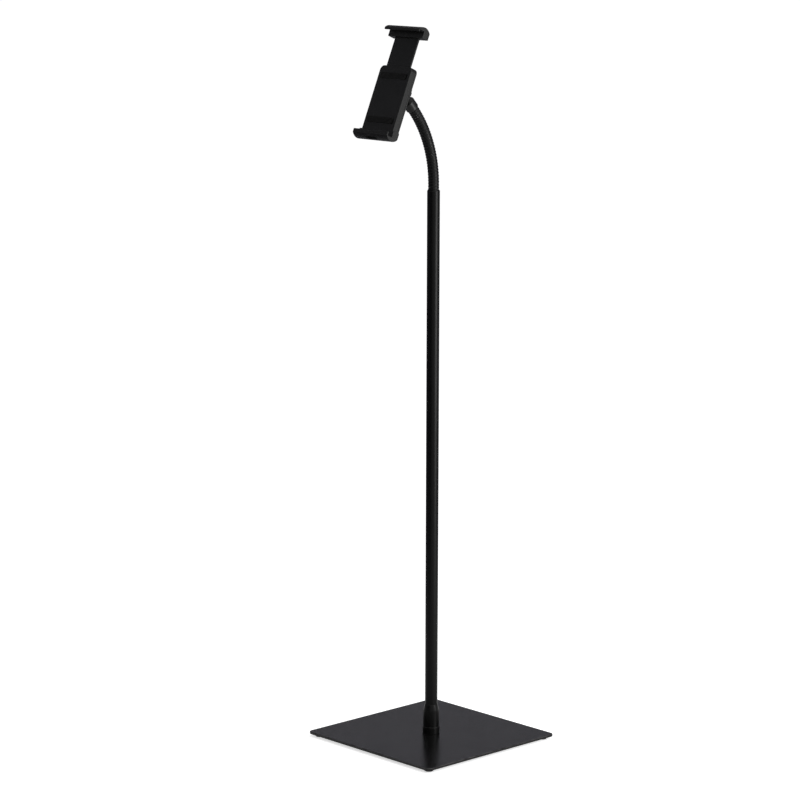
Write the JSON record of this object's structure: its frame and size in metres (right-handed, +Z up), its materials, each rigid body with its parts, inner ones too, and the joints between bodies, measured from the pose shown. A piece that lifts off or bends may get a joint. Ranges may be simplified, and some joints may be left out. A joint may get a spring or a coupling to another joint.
{
  "type": "adjustable tablet floor stand",
  "caption": "Floor stand with a square steel base on rubber feet, a straight pole, a wound gooseneck and a ball-jointed cradle whose sprung upper jaw grips a tablet.",
  "frame": {"origin": "on the floor, under the middle of the base", "axes": "+Z up; the cradle faces -Y; +X to the right of someone who looks at the cradle's front along +Y"},
  "size_m": [0.3, 0.3, 1.2186],
  "materials": {
    "base_coat": "satin black powder coat on steel plate",
    "pole_coat": "satin black powder coat on steel tube",
    "neck_coat": "matt black coating on wound steel wire",
    "moulded_plastic": "fine-grained matt black moulding",
    "rubber": "matt black rubber",
    "zinc_steel": "zinc plated",
    "plain_steel": "plain turned steel"
  },
  "bodies": {
    "stand": {"base_plate": "base_coat", "base_feet": "rubber", "foot_screws": "zinc_steel", "base_bolt": "zinc_steel", "pole_boss": "pole_coat", "pole_sleeve": "pole_coat", "pole_tube": "pole_coat", "pole_foot_plug": "plain_steel", "neck_root_plug": "plain_steel", "neck_coil_1": "neck_coat", "neck_filler_1": "neck_coat"},
    "neck_2": {"neck_coil_2": "neck_coat", "neck_filler_2": "neck_coat"},
    "neck_3": {"neck_coil_3": "neck_coat", "neck_filler_3": "neck_coat"},
    "neck_4": {"neck_coil_4": "neck_coat", "neck_filler_4": "neck_coat"},
    "neck_5": {"neck_coil_5": "neck_coat", "neck_filler_5": "neck_coat"},
    "neck_tip": {"neck_coil_6": "neck_coat", "neck_filler_6": "neck_coat", "neck_tip_ferrule": "neck_coat", "ball_stud": "plain_steel"},
    "socket_pad": {"socket_pad": "rubber"},
    "cradle": {"ball_socket": "moulded_plastic", "socket_screws": "zinc_steel", "cradle_front": "moulded_plastic", "cradle_cover": "moulded_plastic", "cover_screws": "zinc_steel", "back_pads": "rubber", "lower_jaw": "moulded_plastic", "lower_jaw_pads": "rubber", "lower_jaw_screws": "zinc_steel", "clamp_springs": "plain_steel"},
    "clamp_ring": {"clamp_ring": "moulded_plastic"},
    "upper_jaw": {"upper_jaw": "moulded_plastic", "upper_jaw_pad": "rubber", "slide_plate": "moulded_plastic", "slide_screws": "zinc_steel"}
  },
  "joints": [
    {"name": "neck_bend", "type": "hinge", "parent": "stand", "child": "neck_2", "pos_m": [0, -0.00007, 0.9601], "axis": [1, 0, 0], "range_deg": [-14, 14], "deforming": ["neck_coil_1", "neck_coil_2", "neck_filler_1", "neck_filler_2"]},
    {"name": "neck_sway", "type": "hinge", "parent": "neck_2", "child": "neck_3", "pos_m": [0, -0.00323, 0.9901], "axis": [0, 0.9832, 0.1825], "range_deg": [-15, 15], "deforming": ["neck_coil_2", "neck_coil_3", "neck_filler_2", "neck_filler_3"]},
    {"name": "neck_bend_2", "type": "hinge", "parent": "neck_3", "child": "neck_4", "pos_m": [0, -0.01104, 1.01924], "axis": [1, 0, 0], "range_deg": [-14, 14], "deforming": ["neck_coil_3", "neck_coil_4", "neck_filler_3", "neck_filler_4"]},
    {"name": "neck_sway_2", "type": "hinge", "parent": "neck_4", "child": "neck_5", "pos_m": [0, -0.02332, 1.0468], "axis": [0, 0.8788, 0.4773], "range_deg": [-15, 15], "deforming": ["neck_coil_4", "neck_coil_5", "neck_filler_4", "neck_filler_5"]},
    {"name": "neck_bend_3", "type": "hinge", "parent": "neck_5", "child": "neck_tip", "pos_m": [0, -0.03975, 1.0721], "axis": [1, 0, 0], "range_deg": [-14, 14], "deforming": ["neck_coil_5", "neck_coil_6", "neck_filler_5", "neck_filler_6"]},
    {"name": "cradle_tilt", "type": "hinge", "parent": "neck_tip", "child": "socket_pad", "pos_m": [0, -0.0735, 1.11046], "axis": [1, 0, 0], "range_deg": [-55, 8]},
    {"name": "cradle_turn", "type": "hinge", "parent": "socket_pad", "child": "cradle", "pos_m": [0, -0.0735, 1.11046], "axis": [0, -0.9191, 0.3939], "continuous": true},
    {"name": "clamp_ring_turn", "type": "hinge", "parent": "cradle", "child": "clamp_ring", "pos_m": [0, -0.0735, 1.11046], "axis": [0, 0.9191, -0.3939], "range_deg": [0, 270]},
    {"name": "jaw_slide", "type": "slide", "parent": "cradle", "child": "upper_jaw", "axis": [0, 0.3939, 0.9191], "range_m": [-0.049, 0.028], "stiffness_N_per_m": 150, "springref_m": -0.08, "deforming": ["clamp_springs"]}
  ],
  "couplings": [
    {"joint": "neck_bend_2", "follows": "neck_bend", "ratio": 1},
    {"joint": "neck_bend_3", "follows": "neck_bend", "ratio": 1},
    {"joint": "neck_sway_2", "follows": "neck_sway", "ratio": 1}
  ]
}
